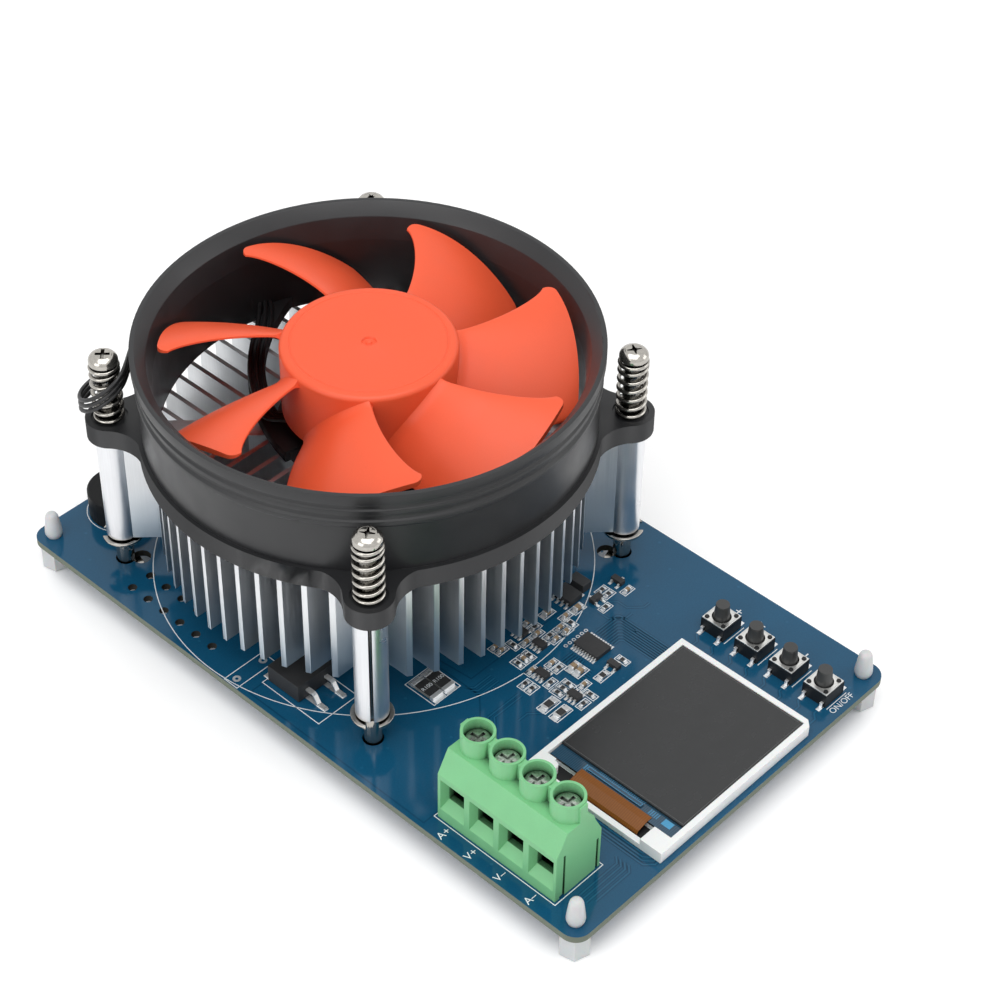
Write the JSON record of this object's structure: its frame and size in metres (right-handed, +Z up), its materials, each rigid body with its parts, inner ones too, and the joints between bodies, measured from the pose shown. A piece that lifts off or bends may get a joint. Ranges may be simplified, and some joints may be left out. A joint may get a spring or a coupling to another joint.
{
  "type": "dc electronic load",
  "caption": "Fan-cooled DC electronic load: blue circuit board with a round finned cooler and orange fan, colour display, push buttons and a green screw terminal block",
  "frame": {"origin": "middle of the footprint, on the floor under the feet", "axes": "X across the short side to the user's right, Y along the long side away from the user, Z up"},
  "size_m": [0.0954, 0.1586, 0.0675],
  "materials": {
    "board_blue": "glossy blue solder mask on glass-fibre laminate",
    "nylon_white": "milky satin nylon",
    "terminal_green": "satin moulded plastic",
    "tin": "tinned metal",
    "steel": "bright nickel-plated steel",
    "clamp_brass": "plated brass",
    "frame_white": "satin white plastic",
    "light_guide": "clear acrylic",
    "screen": "dark satin film on glass",
    "driver_dark": "polished silicon",
    "flex_amber": "amber polyimide film",
    "black_plastic": "black moulded plastic",
    "plunger_grey": "dark satin plastic",
    "aluminium": "extruded aluminium",
    "frame_black": "charcoal satin plastic",
    "impeller_orange": "coral orange satin plastic",
    "magnet": "bonded ferrite",
    "bronze": "sintered bronze",
    "copper": "enamelled copper",
    "fan_board_green": "green solder mask",
    "wire_black": "satin wire jacket",
    "pad_grey": "silicone pad",
    "chip_cap_tan": "fired ceramic with tinned ends",
    "chip_black": "moulded epoxy",
    "header_white": "natural nylon"
  },
  "bodies": {
    "base": {"circuit_board": "board_blue", "board_feet": "nylon_white", "terminal_housing": "terminal_green", "terminal_contacts": "tin", "display_frame": "frame_white", "display_light_guide": "light_guide", "display_glass": "screen", "display_driver": "driver_dark", "display_flex": "flex_amber", "switch_bases": "black_plastic", "switch_covers": "tin", "switch_legs": "tin", "buzzer": "black_plastic", "supply_jack": "black_plastic", "supply_jack_contacts": "tin", "fan_header": "header_white", "fan_header_pins": "tin", "fan_plug": "header_white", "heatsink": "aluminium", "fan_frame": "frame_black", "mounting_screws": "steel", "mounting_springs": "steel", "retaining_clips": "steel", "mounting_nuts": "steel", "fan_bearing": "bronze", "stator_core": "tin", "stator_coils": "copper", "fan_circuit_board": "fan_board_green", "fan_lead": "wire_black", "load_transistor": "chip_black", "load_transistor_tab": "tin", "load_transistor_leads": "tin", "thermal_pad": "pad_grey", "edge_transistor": "chip_black", "edge_transistor_leads": "tin", "shunt_resistors": "chip_black", "microcontroller": "chip_black", "small_circuits": "chip_black", "small_transistors": "chip_black", "circuit_leads": "tin", "chip_capacitors": "chip_cap_tan", "chip_resistors": "chip_black"},
    "impeller": {"fan_impeller": "impeller_orange", "rotor_yoke": "tin", "rotor_magnet": "magnet", "fan_shaft": "steel"},
    "plus_button": {"plus_button": "plunger_grey"},
    "set_button": {"set_button": "plunger_grey"},
    "minus_button": {"minus_button": "plunger_grey"},
    "power_button": {"power_button": "plunger_grey"},
    "terminal_screw_1": {"terminal_screw_1": "steel"},
    "wire_clamp_1": {"wire_clamp_1": "clamp_brass"},
    "terminal_screw_2": {"terminal_screw_2": "steel"},
    "wire_clamp_2": {"wire_clamp_2": "clamp_brass"},
    "terminal_screw_3": {"terminal_screw_3": "steel"},
    "wire_clamp_3": {"wire_clamp_3": "clamp_brass"},
    "terminal_screw_4": {"terminal_screw_4": "steel"},
    "wire_clamp_4": {"wire_clamp_4": "clamp_brass"}
  },
  "joints": [
    {"name": "fan_spin", "type": "hinge", "parent": "base", "child": "impeller", "pos_m": [-0.0003, 0.0216, 0.0585], "axis": [0, 0, 1], "continuous": true},
    {"name": "plus_button_press", "type": "slide", "parent": "base", "child": "plus_button", "axis": [0, 0, -1], "range_m": [0, 0.00025], "stiffness_N_per_m": 6400},
    {"name": "set_button_press", "type": "slide", "parent": "base", "child": "set_button", "axis": [0, 0, -1], "range_m": [0, 0.00025], "stiffness_N_per_m": 6400},
    {"name": "minus_button_press", "type": "slide", "parent": "base", "child": "minus_button", "axis": [0, 0, -1], "range_m": [0, 0.00025], "stiffness_N_per_m": 6400},
    {"name": "power_button_press", "type": "slide", "parent": "base", "child": "power_button", "axis": [0, 0, -1], "range_m": [0, 0.00025], "stiffness_N_per_m": 6400},
    {"name": "terminal_screw_1_turn", "type": "hinge", "parent": "base", "child": "terminal_screw_1", "pos_m": [-0.0365, -0.04317, 0.026], "axis": [0, 0, -1], "range_deg": [0, 2016]},
    {"name": "wire_clamp_1_lift", "type": "slide", "parent": "base", "child": "wire_clamp_1", "axis": [0, 0, 1], "range_m": [0, 0.0028]},
    {"name": "terminal_screw_2_turn", "type": "hinge", "parent": "base", "child": "terminal_screw_2", "pos_m": [-0.0365, -0.05079, 0.026], "axis": [0, 0, -1], "range_deg": [0, 2016]},
    {"name": "wire_clamp_2_lift", "type": "slide", "parent": "base", "child": "wire_clamp_2", "axis": [0, 0, 1], "range_m": [0, 0.0028]},
    {"name": "terminal_screw_3_turn", "type": "hinge", "parent": "base", "child": "terminal_screw_3", "pos_m": [-0.0365, -0.05841, 0.026], "axis": [0, 0, -1], "range_deg": [0, 2016]},
    {"name": "wire_clamp_3_lift", "type": "slide", "parent": "base", "child": "wire_clamp_3", "axis": [0, 0, 1], "range_m": [0, 0.0028]},
    {"name": "terminal_screw_4_turn", "type": "hinge", "parent": "base", "child": "terminal_screw_4", "pos_m": [-0.0365, -0.06603, 0.026], "axis": [0, 0, -1], "range_deg": [0, 2016]},
    {"name": "wire_clamp_4_lift", "type": "slide", "parent": "base", "child": "wire_clamp_4", "axis": [0, 0, 1], "range_m": [0, 0.0028]}
  ],
  "couplings": [
    {"joint": "terminal_screw_1_turn", "follows": "wire_clamp_1_lift", "rad_per_m": 12566},
    {"joint": "terminal_screw_2_turn", "follows": "wire_clamp_2_lift", "rad_per_m": 12566},
    {"joint": "terminal_screw_3_turn", "follows": "wire_clamp_3_lift", "rad_per_m": 12566},
    {"joint": "terminal_screw_4_turn", "follows": "wire_clamp_4_lift", "rad_per_m": 12566}
  ]
}
